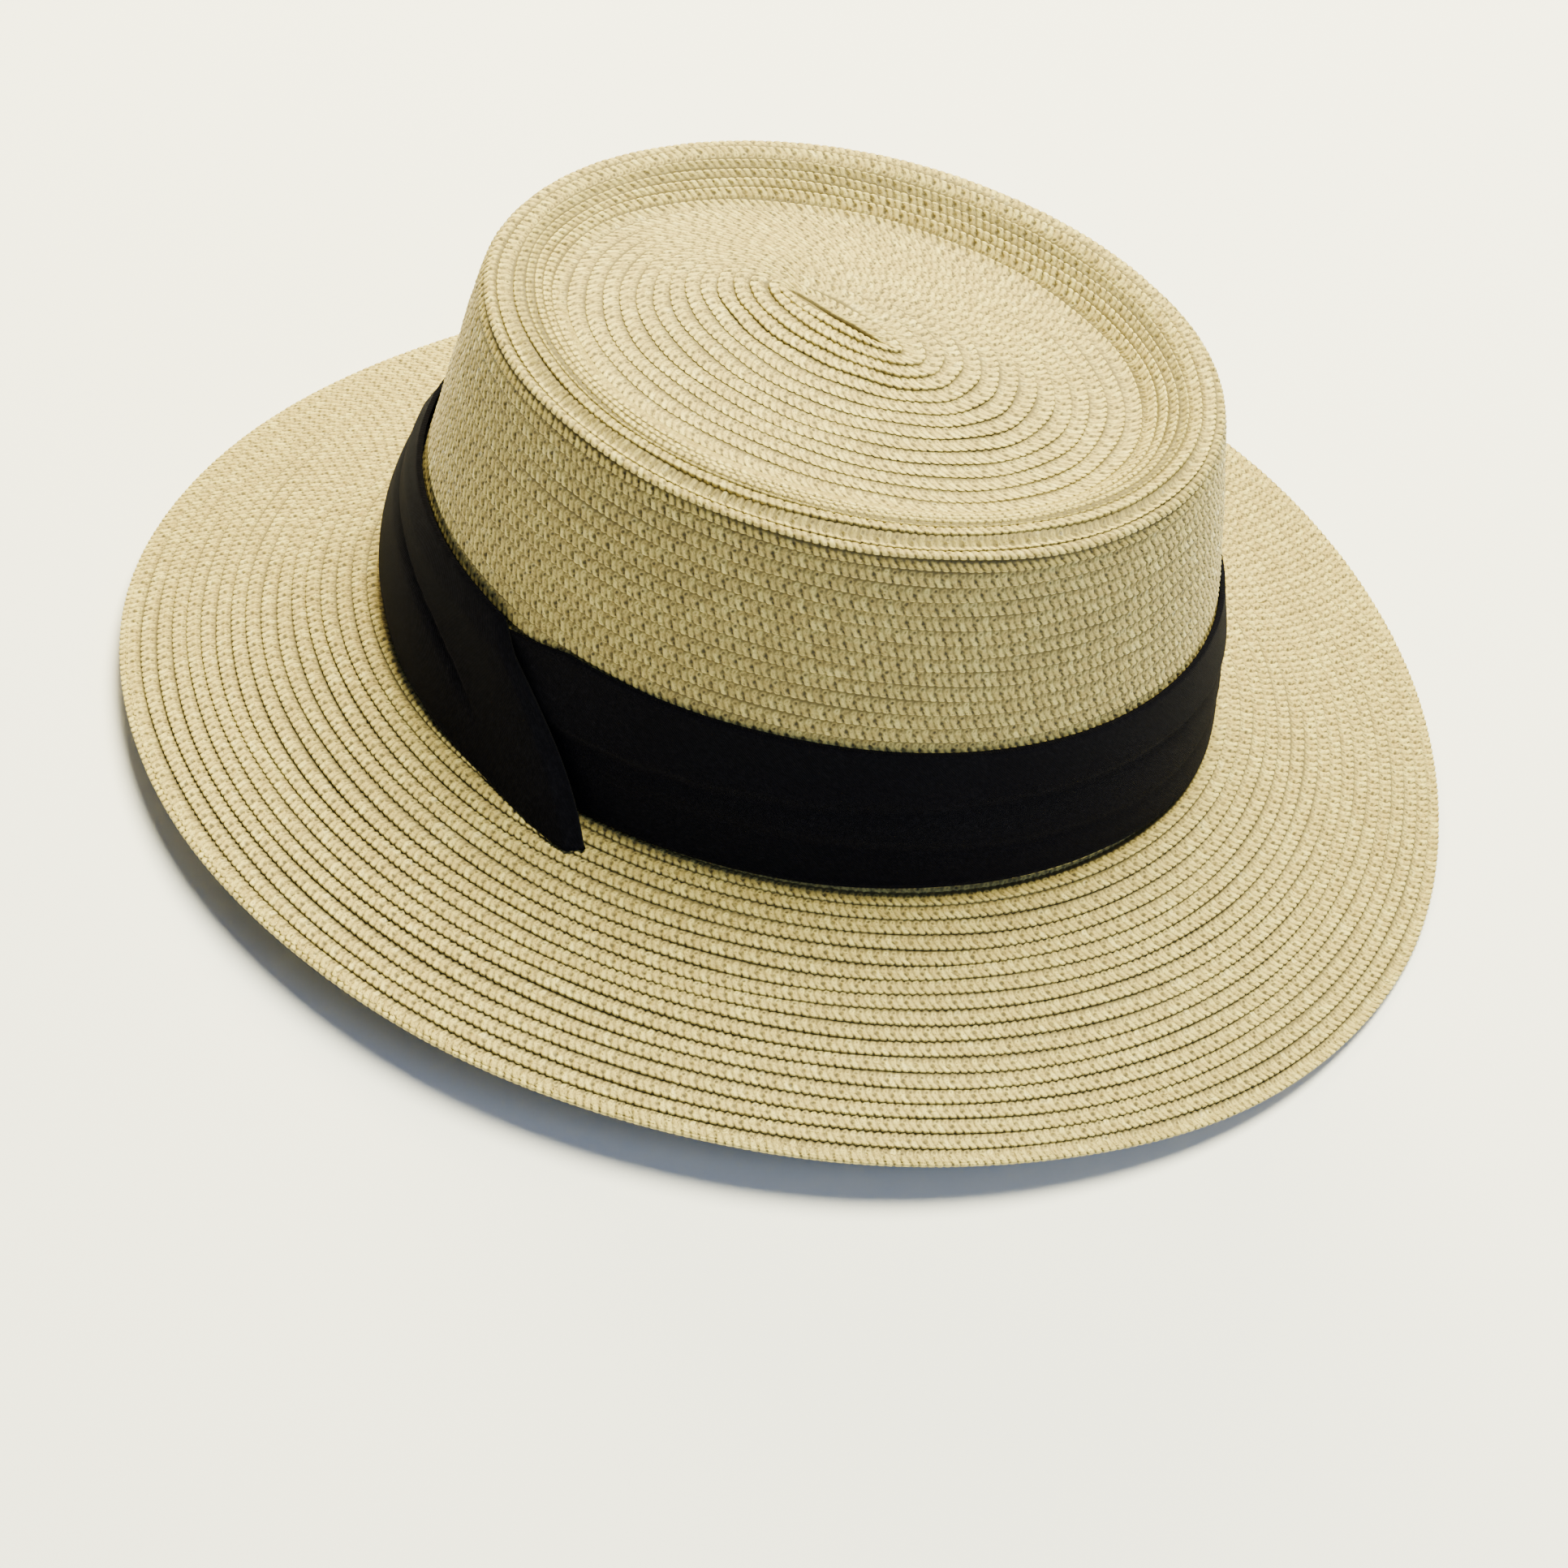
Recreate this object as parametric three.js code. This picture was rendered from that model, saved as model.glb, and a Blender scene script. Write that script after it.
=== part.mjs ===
// Straw boater hat: an oval straw crown with a sunken tip, a drooping brim and a pleated cloth band.
// Millimetres and degrees. +Z is up, the floor that the brim rests on is z = 0,
// and the long way of the head lies along Y.
import * as THREE from "three";
import { mergeVertices } from "three/addons/utils/BufferGeometryUtils.js";

// Head opening and straw
const headWidth = 166.4;
const headLength = 198;
const strawWall = 2.2;
const seamGap = 0.3;

// Crown side, from the brim up to the rim
const crownHeight = 91.5;
const crownTaper = 13.5;
const crownSwell = 0.8;
const rimRound = 3;
const rimFlange = 7;

// Tip, sunk inside the rim and domed again in the middle
const tipLap = 4;
const recessDepth = 5.8;
const recessRun = 7;
const tipCrest = 1;
const crestFlat = 10;

// Brim
const brimWidth = 68;
const brimMargin = 1.6;
const brimBend = 6;
const brimDroop = 19.5;
const droopWaves = [
  { waves: 2, swing: 5.5, turn: 80 },
  { waves: 3, swing: 1.5, turn: 45 },
];

// Cloth band, one strip that goes round once and laps over its own start
const bandHeight = 37.5;
const bandLift = 2.2;
const bandThickest = 2.2;
const bandStartAngle = 96;
const bandEndAngle = 147;
const bandEndSlant = 20;
const bandRampAngle = 14;
const tailDrop = 1.5;
const tailFlare = 5;
const tailDipAngle = 30;

// Pleats from the lower edge up: share of the band's height, and share of its greatest thickness
const pleatRows = [
  { height: 0, thickness: 0.8 },
  { height: 0.29, thickness: 0.55 },
  { height: 0.315, thickness: 0.95 },
  { height: 0.54, thickness: 0.6 },
  { height: 0.565, thickness: 1 },
  { height: 0.8, thickness: 0.7 },
  { height: 1, thickness: 0.5 },
];

// How finely the round forms are faceted
const sidesRound = 72;
const bandSteps = 100;

const stretch = (headLength - headWidth) / 2;
const insideRadius = headWidth / 2;
const baseRadius = insideRadius + strawWall;
const rimRadius = baseRadius - crownTaper;
const droopStart = baseRadius + brimMargin;
const recessOuter = rimRadius - rimFlange;
const recessInner = recessOuter - recessRun;
const lapDepth = strawWall + seamGap;
const radians = THREE.MathUtils.degToRad;

function point(radius, height) {
  return new THREE.Vector2(radius, height);
}

// Points of a curve that falls or rises softly between two profile points
function softSlope(from, to, steps) {
  const points = [];
  for (let step = 1; step < steps; step += 1) {
    const share = step / steps;
    const ease = 0.5 - 0.5 * Math.cos(Math.PI * share);
    points.push(point(from.x + (to.x - from.x) * share, from.y + (to.y - from.y) * ease));
  }
  return points;
}

// Points on a quarter round from the angle `start` to the angle `end`
function roundCorner(centre, radius, start, end, steps) {
  const points = [];
  for (let step = 0; step <= steps; step += 1) {
    const angle = radians(start + ((end - start) * step) / steps);
    points.push(point(centre.x + radius * Math.cos(angle), centre.y + radius * Math.sin(angle)));
  }
  return points;
}

// An oval shell: a lathe of the profile, with every ring drawn out along Y by the same stretch
function ovalShell(profile, place) {
  const geometry = new THREE.LatheGeometry(profile, sidesRound);
  const position = geometry.attributes.position;
  for (let index = 0; index < position.count; index += 1) {
    const turn = Math.floor(index / profile.length) / sidesRound;
    const outline = profile[index % profile.length];
    const spot = place(outline.x, outline.y, 2 * Math.PI * turn);
    position.setXYZ(index, spot.x, spot.y, spot.z);
  }
  return closeUp(geometry);
}

function closeUp(geometry) {
  geometry.deleteAttribute("normal");
  geometry.deleteAttribute("uv");
  const merged = mergeVertices(geometry, 1e-4);
  merged.computeVertexNormals();
  return merged;
}

function onOval(radius, height, angle) {
  const x = radius * Math.cos(angle);
  const y = (radius + stretch) * Math.sin(angle);
  return new THREE.Vector3(x, y, height);
}

// Slope of the brim below level, in the direction of an angle round the hat
function droopAt(angle) {
  let slope = radians(brimDroop);
  for (const wave of droopWaves) {
    slope += radians(wave.swing) * Math.cos(wave.waves * (angle - radians(wave.turn)));
  }
  return slope;
}

// The brim's sheet: level as far as droopStart, bent over brimBend, then straight down the slope.
// `along` is the distance from the crown's middle over the sheet, `rise` the height above its top.
function onBrim(along, rise, angle) {
  const past = Math.max(0, along - droopStart);
  const slope = droopAt(angle);
  const bent = Math.min(past, brimBend);
  const lean = (slope * bent) / brimBend;
  const bendRadius = brimBend / slope;
  const run = bendRadius * Math.sin(lean) + (past - bent) * Math.cos(slope);
  const fall = bendRadius * (1 - Math.cos(lean)) + (past - bent) * Math.sin(slope);
  const radius = Math.min(along, droopStart) + run + rise * Math.sin(lean);
  return onOval(radius, rise * Math.cos(lean) - fall, angle);
}

// Outer radius of the crown's side at a height above its seat
function crownRadius(height) {
  const share = height / crownHeight;
  return baseRadius - crownTaper * share + crownSwell * 4 * share * (1 - share);
}

function brimProfile() {
  const inner = insideRadius;
  const outer = droopStart + brimWidth;
  const half = strawWall / 2;
  const edge = roundCorner(point(outer - half, -half), half, -90, 90, 4);
  const bends = [0, brimBend * 0.5, brimBend, brimBend + 12, brimBend + 30, brimBend + 48];
  const under = bends.map((reach) => point(droopStart + reach, -strawWall));
  const top = bends.map((reach) => point(droopStart + reach, 0)).reverse();
  return [point(inner, -strawWall), ...under, ...edge, ...top, point(inner, 0), point(inner, -strawWall)];
}

function brimGeometry() {
  return ovalShell(brimProfile(), (along, rise, angle) => onBrim(along, rise, angle));
}

function crownSideGeometry() {
  const levels = [0, 0.2, 0.4, 0.6, 0.8];
  const shoulder = point(crownRadius(crownHeight) - rimRound, crownHeight - rimRound);
  const wallTop = crownHeight - rimRound;
  const outside = levels.map((share) => point(crownRadius(wallTop * share), seamGap + (wallTop - seamGap) * share));
  const inside = levels.map((share) => {
    const height = (wallTop - strawWall) * share;
    return point(crownRadius(height) - strawWall, seamGap + (wallTop - seamGap - strawWall) * share);
  });
  const outerRound = roundCorner(shoulder, rimRound, 0, 90, 4);
  const innerRound = roundCorner(shoulder, rimRound - strawWall, 90, 0, 2);
  const flange = [point(recessOuter, crownHeight), point(recessOuter, crownHeight - strawWall)];
  const profile = [...outside, ...outerRound, ...flange, ...innerRound, ...inside.reverse()];
  return ovalShell([...profile, profile[0].clone()], onOval);
}

function crownTipGeometry() {
  const lapTop = crownHeight - lapDepth;
  const lapOuter = recessOuter + tipLap;
  const floorHeight = crownHeight - recessDepth;
  const crest = point(crestFlat, crownHeight + tipCrest);
  const floorEdge = point(recessInner, floorHeight);
  const lapInner = point(recessOuter - seamGap, lapTop);
  const wallSteps = softSlope(lapInner, floorEdge, 3);
  const domeSteps = softSlope(floorEdge, crest, 6);
  const top = [point(lapOuter, lapTop), lapInner, ...wallSteps, floorEdge, ...domeSteps, crest];
  const topFace = [...top, point(0, crest.y)];
  const underFace = topFace.map((spot) => point(spot.x, spot.y - strawWall)).reverse();
  return ovalShell([...underFace, ...topFace], onOval);
}

// The strip is a box of cells, bent round the crown: `turn` runs along it, `level` up it,
// and `depth` is 0 on the side that faces the crown and 1 outside
function hatbandGeometry() {
  const rows = pleatRows.length - 1;
  const geometry = new THREE.BoxGeometry(bandSteps, rows, 1, bandSteps, rows, 1);
  const position = geometry.attributes.position;
  for (let index = 0; index < position.count; index += 1) {
    const turn = position.getX(index) / bandSteps + 0.5;
    const row = pleatRows[Math.round(position.getY(index) + rows / 2)];
    const depth = position.getZ(index) > 0 ? 1 : 0;
    const spot = onBand(turn, row, depth);
    position.setXYZ(index, spot.x, spot.y, spot.z);
  }
  return closeUp(geometry);
}

function onBand(turn, row, depth) {
  const start = radians(bandStartAngle);
  const end = radians(bandEndAngle + 360 + bandEndSlant * (1 - row.height));
  const angle = start + (end - start) * turn;
  const lapStart = start + 2 * Math.PI - radians(bandRampAngle);
  const lapShare = THREE.MathUtils.smoothstep(angle, lapStart, lapStart + radians(bandRampAngle * 0.8));
  const tipStart = radians(bandEndAngle + 360 + bandEndSlant - tailDipAngle);
  const tipShare = THREE.MathUtils.smoothstep(angle, tipStart, tipStart + radians(tailDipAngle));
  const low = tipShare * (1 - row.height) ** 3;
  const height = seamGap + bandLift + bandHeight * row.height - tailDrop * low;
  const layers = seamGap + (bandThickest + seamGap) * lapShare + bandThickest * row.thickness * depth;
  return onOval(crownRadius(height) + layers + tailFlare * low, height, angle);
}

const strawLook = { color: 0xe3d3a0, roughness: 0.75, metalness: 0 };
const clothLook = { color: 0x0d0e12, roughness: 0.9, metalness: 0 };

const hat = new THREE.Group();

function addPiece(name, geometry, look) {
  const mesh = new THREE.Mesh(geometry, new THREE.MeshStandardMaterial(look));
  mesh.name = name;
  hat.add(mesh);
}

addPiece("crown_tip", crownTipGeometry(), strawLook);
addPiece("crown_side", crownSideGeometry(), strawLook);
addPiece("brim", brimGeometry(), strawLook);
addPiece("hatband", hatbandGeometry(), clothLook);

// The pieces are drawn from the crown's seat. The hat is set down with its brim on the floor
// and the middle of its outline over the origin.
const outline = new THREE.Box3().setFromObject(hat, true);
const middle = outline.getCenter(new THREE.Vector3());
hat.position.set(-middle.x, -middle.y, -outline.min.z);

export default hat;
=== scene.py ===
import math

import bpy
import numpy as np
from mathutils import Matrix, Vector


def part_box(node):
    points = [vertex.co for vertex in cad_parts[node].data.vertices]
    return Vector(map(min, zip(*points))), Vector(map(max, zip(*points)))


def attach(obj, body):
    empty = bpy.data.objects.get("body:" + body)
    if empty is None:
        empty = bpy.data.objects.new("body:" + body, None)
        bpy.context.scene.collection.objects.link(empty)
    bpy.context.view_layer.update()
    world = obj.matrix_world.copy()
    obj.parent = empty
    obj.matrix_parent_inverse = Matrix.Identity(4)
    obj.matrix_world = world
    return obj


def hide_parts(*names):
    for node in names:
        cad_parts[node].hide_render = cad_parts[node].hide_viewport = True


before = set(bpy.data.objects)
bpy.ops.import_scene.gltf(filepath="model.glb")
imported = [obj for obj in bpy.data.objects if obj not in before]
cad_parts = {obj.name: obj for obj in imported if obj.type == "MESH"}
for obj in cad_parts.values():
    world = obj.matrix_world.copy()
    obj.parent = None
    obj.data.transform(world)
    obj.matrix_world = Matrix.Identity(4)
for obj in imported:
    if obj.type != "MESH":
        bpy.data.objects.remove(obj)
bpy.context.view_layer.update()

mm = 0.001
fullTurn = 2 * math.pi
chance = np.random.RandomState(11)

# Straw boater. Lengths are millimetres and angles degrees, as on the part; heights count from
# the crown's seat on the brim, and +Y is the long way of the head.
hatForm = {
    "headWidth": 166.4,
    "headLength": 198,
    "strawWall": 2.2,
    "seamGap": 0.3,
    "crownHeight": 91.5,
    "crownTaper": 13.5,
    "crownSwell": 0.8,     # how far the side swells out halfway up
    "footBelow": 2,        # the outline goes on this far under the seat
    "rimRound": 3,
    "rimFlange": 7,        # from the side in to the recess
    "rimLip": (2, 0.9),    # run and rise of the rim's inner edge
    "recessDepth": 7.4,
    "recessRun": 11.5,
    "frontEdgeIn": 5.4,    # at the front the recess starts further in
    "frontAngle": 182,
    "frontFade": (-0.1, 0.75),
    "tipCrest": 1,
    "crestFlat": 10,
    "brimUnder": 1.9,      # the first row of the brim starts under the foot of the crown
    "brimWidth": 68,
    "brimMargin": 1.6,     # level part of the brim outside the crown
    "brimBend": 6,         # length over which the brim turns down
    "brimDroop": 19.5,
    "droopWaves": [(2, 5.5, 80), (3, 1.5, 45)],  # waves round the brim, swing, turn
}

stretch = (hatForm["headLength"] - hatForm["headWidth"]) / 2
baseRadius = hatForm["headWidth"] / 2 + hatForm["strawWall"]
rimRadius = baseRadius - hatForm["crownTaper"]
droopStart = baseRadius + hatForm["brimMargin"]
recessOuter = rimRadius - hatForm["rimFlange"]
recessInner = recessOuter - hatForm["recessRun"]

sideLow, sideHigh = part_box("crown_side")
hatMiddle = (sideLow + sideHigh) / 2
seatHeight = sideLow.z - hatForm["seamGap"] * mm


def inFrame(points):  # from millimetres over the seat to metres in the frame
    return points * mm + np.array([hatMiddle.x, hatMiddle.y, seatHeight])


def smoothStep(value, low, high):
    share = np.clip((value - low) / (high - low), 0, 1)
    return share * share * (3 - 2 * share)


def plateau(value, rise, fall):  # 1 between the two ranges, 0 outside them
    return smoothStep(value, *rise) * (1 - smoothStep(value, *fall))


def bell(value, middle, spread):
    return np.exp(-(((value - middle) / spread) ** 2))


# Camera: the photograph's angle, lean and distance, fitted on the rim, the band and the brim's edge
cameraPlace = {
    "azimuth": -78,
    "elevation": 44.05,
    "lean": 10.2,
    "distance": 1077,
    "aimAcross": 2.3,
    "aimUp": -60.8,
    "aimHeight": 31.4,
    "lens": 103.5,
    "sensor": 36,
    "clip": (0.05, 20),    # metres
}


def placeCamera():
    turn, lift, lean = (math.radians(cameraPlace[name]) for name in ("azimuth", "elevation", "lean"))
    back = Vector((math.sin(turn) * math.cos(lift), -math.cos(turn) * math.cos(lift), math.sin(lift)))
    across = Vector((math.cos(turn), math.sin(turn), 0))
    upward = back.cross(across)
    aim = across * cameraPlace["aimAcross"] + upward * cameraPlace["aimUp"]
    aim += Vector((0, 0, cameraPlace["aimHeight"]))
    spot = (aim + back * cameraPlace["distance"]) * mm + Vector((hatMiddle.x, hatMiddle.y, seatHeight))
    right = across * math.cos(lean) + upward * math.sin(lean)
    top = upward * math.cos(lean) - across * math.sin(lean)
    data = bpy.data.cameras.new("photoCamera")
    data.lens = cameraPlace["lens"]
    data.sensor_width = cameraPlace["sensor"]
    data.clip_start, data.clip_end = cameraPlace["clip"]
    camera = bpy.data.objects.new("photoCamera", data)
    bpy.context.scene.collection.objects.link(camera)
    camera.matrix_world = Matrix.Translation(spot) @ Matrix((right, top, back)).transposed().to_4x4()
    bpy.context.scene.camera = camera


placeCamera()
print("camera placed")


# The crown's outline from the middle of the tip over the rim and down past the seat, in even steps
outlineForm = {
    "step": 0.1,
    "softReach": 30,       # in steps: corners are rounded over about 2 mm
    "softSpread": 9,
    "points": (120, 24, 160),  # on the dome, round the rim and down the side
}


def crownRadius(height):
    share = height / hatForm["crownHeight"]
    return baseRadius - hatForm["crownTaper"] * share + hatForm["crownSwell"] * 4 * share * (1 - share)


def softenLine(line, mirror):  # past its start the line is mirrored, past its end it goes straight on
    reach = outlineForm["softReach"]
    weights = np.exp(-0.5 * (np.arange(-reach, reach + 1) / outlineForm["softSpread"]) ** 2)
    before = mirror * line[reach:0:-1]
    after = 2 * line[-1] - line[-2:-reach - 2:-1]
    return np.convolve(np.concatenate([before, line, after]), weights / weights.sum(), "valid")


def drawCrownLine(edge):
    top, bend, flat = hatForm["crownHeight"], hatForm["rimRound"], hatForm["crestFlat"]
    floor = top - hatForm["recessDepth"]
    crest = top + hatForm["tipCrest"]
    lipRun, lipRise = hatForm["rimLip"]
    domePoints, cornerPoints, sidePoints = outlineForm["points"]
    dome = np.linspace(flat, recessInner, domePoints)
    ease = 0.5 - 0.5 * np.cos(math.pi * (recessInner - dome) / (recessInner - flat))
    corner = np.radians(np.linspace(90, 0, cornerPoints))
    side = np.linspace(top - bend, -hatForm["footBelow"], sidePoints)
    radius = [[0], dome, [edge, edge + lipRun], rimRadius - bend + bend * np.cos(corner), crownRadius(side)]
    height = [[crest], floor + (crest - floor) * ease, [top - lipRise, top]]
    height += [top - bend + bend * np.sin(corner), side]
    radius, height = np.concatenate(radius), np.concatenate(height)
    reach = np.concatenate([[0], np.cumsum(np.hypot(np.diff(radius), np.diff(height)))])
    even = np.arange(0, reach[-1], outlineForm["step"])
    radius = softenLine(np.interp(even, reach, radius), -1)
    height = softenLine(np.interp(even, reach, height), 1)
    slopeOut, slopeUp = (np.gradient(line, outlineForm["step"]) for line in (radius, height))
    size = np.hypot(slopeOut, slopeUp)
    facing = {"out": -slopeUp / size, "up": slopeOut / size}
    return {"reach": even, "radius": radius, "height": height} | facing


def reachOfRim(line):
    return line["reach"][np.argmax(line["radius"] > rimRadius - 1)]


crownLine = drawCrownLine(recessOuter)
frontLine = drawCrownLine(recessOuter - hatForm["frontEdgeIn"])
rimStart, frontRim = reachOfRim(crownLine), reachOfRim(frontLine)


def frontShare(turn):
    return smoothStep(np.cos(turn - math.radians(hatForm["frontAngle"])), *hatForm["frontFade"])


def readCrown(part, reach, turn):
    back = np.interp(reach, crownLine["reach"], crownLine[part])
    frontReach = np.where(reach < rimStart, reach * frontRim / rimStart, reach + frontRim - rimStart)
    front = np.interp(frontReach, frontLine["reach"], frontLine[part])
    return back + (front - back) * frontShare(turn)


def reachOfHeight(height):  # way down the crown's outline to a height on its side
    onSide = crownLine["reach"] > rimStart
    return np.interp(-height, -crownLine["height"][onSide], crownLine["reach"][onSide])


# The row at the crown's edge flares out as a small ledge, with a sunk row and a raised row behind it.
# Ranges run along the outline from the ledge's lip, and turns are radians.
ledgeForm = {
    "below": 3.4,              # height under the top of the rim
    "up": 3.4,                 # from there back up the outline to the lip
    "atTurn": 0.544,           # share of a turn at which the lip is just there
    "joinFade": 0.03,          # share of a turn on which all this fades, where a turn meets the next
    "lip": 0.5,
    "lipAt": -0.5,
    "lipSpread": 1.1,
    "lipBehind": (0.35, 0.65),  # share of the lip at the back, and what the front adds
    "lipTurn": 0.35,
    "lipFade": (-0.55, 0.1),
    "raise": 0.9,
    "raiseRise": (-13, -9.5),
    "raiseFall": (-7.4, -5.0),
    "sink": 0.9,
    "sinkRise": (-7.2, -4.8),
    "sinkFall": (-4.0, -0.3),
    "groove": 0.6,
    "grooveAt": -12,
    "groovePaintedShade": 1.9,         # painted shade in the groove behind the raised row; past 1 it is as dark as a gap
    # painted shade on the steep row over the ledge
    "steepPaintedShade": 0.7,
    "steepRise": (-7.3, -6.7),
    "steepFall": (-4.6, -3.8),
    "frontTurn": 0.2,
    "frontFade": (-0.2, 0.7),
}
ledgeReach = reachOfHeight(hatForm["crownHeight"] - ledgeForm["below"]) - ledgeForm["up"]

# Rows of braid out from the middle: they lie closer in the wall of the recess and on the rim
rowForm = {
    "pitch": 3.82,
    "closePitch": 2.5,
    "closeFrom": 54,
    "closeTo": 62.5,
    "closeFade": 1,
    "rimPitch": 2.85,
    "rimRows": 5.7,            # length of outline before the ledge
    "rimFade": 0.7,
    "ledgeFade": (-0.4, 0.6),
    "pastFoot": 12,
}


def spaceRows():
    reach = np.arange(0, crownLine["reach"][-1] + rowForm["pastFoot"], outlineForm["step"])
    start, end, fade = rowForm["closeFrom"], rowForm["closeTo"], rowForm["closeFade"]
    close = plateau(reach, (start - fade, start + fade), (end - fade, end + fade))
    start, fade = ledgeReach - rowForm["rimRows"], rowForm["rimFade"]
    low, high = rowForm["ledgeFade"]
    rim = plateau(reach, (start - fade, start + fade), (ledgeReach + low, ledgeReach + high))
    spacing = rowForm["pitch"] + (rowForm["closePitch"] - rowForm["pitch"]) * close
    spacing = spacing + (rowForm["rimPitch"] - rowForm["pitch"]) * rim
    rows = np.cumsum(outlineForm["step"] / spacing)
    atLedge = np.interp(ledgeReach, reach, rows)
    ledgeRow = round(atLedge - ledgeForm["atTurn"] + 0.5)
    wanted = ledgeRow + ledgeForm["atTurn"] - 0.5
    return {"reach": reach, "rows": rows * wanted / atLedge, "ledge": ledgeRow}


crownRows = spaceRows()


def fromLedge(reach, turn):
    share = np.mod(turn / fullTurn, 1)
    rows = np.interp(reach, crownRows["reach"], crownRows["rows"])
    fade = ledgeForm["joinFade"]
    joined = plateau(share, (0, fade), (1 - fade, 1))
    return rowForm["pitch"] * (rows - (crownRows["ledge"] + share - 0.5)), joined


def frontOnly(turn):
    return smoothStep(-np.cos(turn - ledgeForm["frontTurn"]), *ledgeForm["frontFade"])


def paintRimShade(reach, turn):  # painted shade: the steep row over the ledge and the groove behind the raised row are darkened in colour
    fromLip, joined = fromLedge(reach, turn)
    steep = ledgeForm["steepPaintedShade"] * plateau(fromLip, ledgeForm["steepRise"], ledgeForm["steepFall"])
    groove = ledgeForm["groovePaintedShade"] * bell(fromLip, ledgeForm["grooveAt"], 1)
    return np.maximum(steep, groove) * joined * frontOnly(turn)


def ledgeAt(reach, turn):
    fromLip, joined = fromLedge(reach, turn)
    lip = ledgeForm["lip"] * bell(fromLip, ledgeForm["lipAt"], ledgeForm["lipSpread"])
    raised = ledgeForm["raise"] * plateau(fromLip, ledgeForm["raiseRise"], ledgeForm["raiseFall"])
    sunk = ledgeForm["sink"] * plateau(fromLip, ledgeForm["sinkRise"], ledgeForm["sinkFall"])
    groove = ledgeForm["groove"] * bell(fromLip, ledgeForm["grooveAt"], 1)
    behind, more = ledgeForm["lipBehind"]
    around = behind + more * smoothStep(-np.cos(turn - ledgeForm["lipTurn"]), *ledgeForm["lipFade"])
    return (lip * around + (raised - sunk - groove) * frontOnly(turn)) * joined


# The recess is deepest at the back and shallow at the front
recessForm = {"even": 0.62, "swing": 0.38, "deepest": -20, "edgeFade": (-1, 4)}

# The first length of braid lies straight in the middle of the tip, a little askew and off centre
seamForm = {
    "half": 13.4,          # half the length of the seam
    "turn": -17.5,
    "shift": (4.6, 5.8),
    "shiftFade": 1.5,      # power by which shift fades from the middle out to the recess
    "step": 0.7,
    "stepSpread": 1.5,
}


def raiseRecess(radius, height, turn):
    edge = recessOuter - hatForm["frontEdgeIn"] * frontShare(turn)
    low, high = recessForm["edgeFade"]
    sunk = np.maximum(0, hatForm["crownHeight"] - height)
    sunk = sunk * (1 - smoothStep(radius, edge + low, edge + high))
    fromDeepest = turn - math.radians(recessForm["deepest"])
    depthShare = recessForm["even"] + recessForm["swing"] * np.cos(fromDeepest)
    return height + sunk * (1 - depthShare)


def onCrown(reach, turn, rise):
    reach = np.maximum(reach, 0)
    rise = rise + ledgeAt(reach, turn)
    radius = readCrown("radius", reach, turn) + rise * readCrown("out", reach, turn)
    height = readCrown("height", reach, turn) + rise * readCrown("up", reach, turn)
    height = raiseRecess(radius, height, turn)
    inFront = (np.cos(turn) < 0) & (turn < fullTurn)  # this strip lies under the one behind the seam
    height = height - seamForm["step"] * bell(reach, 0, seamForm["stepSpread"]) * inFront
    inner = 1 - np.clip(radius / recessInner, 0, 1)
    x = radius * np.cos(turn)
    y = (radius + stretch + (seamForm["half"] - stretch) * inner) * np.sin(turn)
    askew = math.radians(seamForm["turn"]) * inner
    x, y = x * np.cos(askew) - y * np.sin(askew), x * np.sin(askew) + y * np.cos(askew)
    x = x + seamForm["shift"][0] * inner ** seamForm["shiftFade"]
    y = y + seamForm["shift"][1] * inner ** seamForm["shiftFade"]
    return np.stack([x, y, height], -1)


def droopAt(turn):
    slope = math.radians(hatForm["brimDroop"])
    for waves, swing, lead in hatForm["droopWaves"]:
        slope = slope + math.radians(swing) * np.cos(waves * (turn - math.radians(lead)))
    return slope


brimInner = baseRadius - hatForm["brimUnder"]
brimReach = droopStart + hatForm["brimWidth"] - brimInner


def onBrim(reach, turn, rise):
    along = brimInner + reach
    past = np.maximum(0, along - droopStart)
    slope = droopAt(turn)
    bend = hatForm["brimBend"]
    bent = np.minimum(past, bend)
    lean = slope * bent / bend
    run = bend / slope * np.sin(lean) + (past - bent) * np.cos(slope)
    fall = bend / slope * (1 - np.cos(lean)) + (past - bent) * np.sin(slope)
    radius = np.minimum(along, droopStart) + run + rise * np.sin(lean)
    height = rise * np.cos(lean) - fall
    return np.stack([radius * np.cos(turn), (radius + stretch) * np.sin(turn), height], -1)


# Paper-straw braid: one flat plaited tape, sewn in a spiral, each turn lapping over the next one out.
# Its section runs from the edge tucked under the row before, over the top and back along below.
braidForm = {
    "pitch": rowForm["pitch"],
    "plait": 1.9,
    "coarsePlait": 2.4,    # where the band covers the braid
    "coverHeight": 29,     # from here down
    "tapeThick": 0.68,
    "tuck": 3.0,
    "under": 1.05,         # from the top of the tape down to its underside
    "sink": 0.55,          # how far the inner side of a row lies under the hat's outer surface
    "valley": 0.42,
    "swell": 0.07,         # height of a plait between two dips
    "oddValley": 0.4,      # every other dip between plaits is shallow, but for the outer edge
    "oddAcross": (1, 3.3),
    "halfAcross": 1.7,     # the tape's two strands meet here
    "tapeMiddle": 1.9,     # across the tape
    "unevenPlait": 0.2,
    "edgeNotch": (-0.12, 0.04),  # the outer edge steps in at a dip and out between
    "notchAcross": 3.5,
    "ripple": 0.16,
    "wander": 0.2,         # how much the rows stray from an even spacing
    "wanderFade": (2, 10),
    "mostLap": 2.2,        # close rows lap up to this much more than even ones
    "lapFade": (4, 10),
    "seamLap": 1.2,        # beside the seam the lap mark is cut by this much, which hides the painted groove shade there
    "seamFades": ((4, 9), (-0.2, 0.3)),  # outwards, and round towards the back
    "columns": (0.0, 0.3, 0.7),
    "pathSteps": 60,       # in a radian
}

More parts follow.
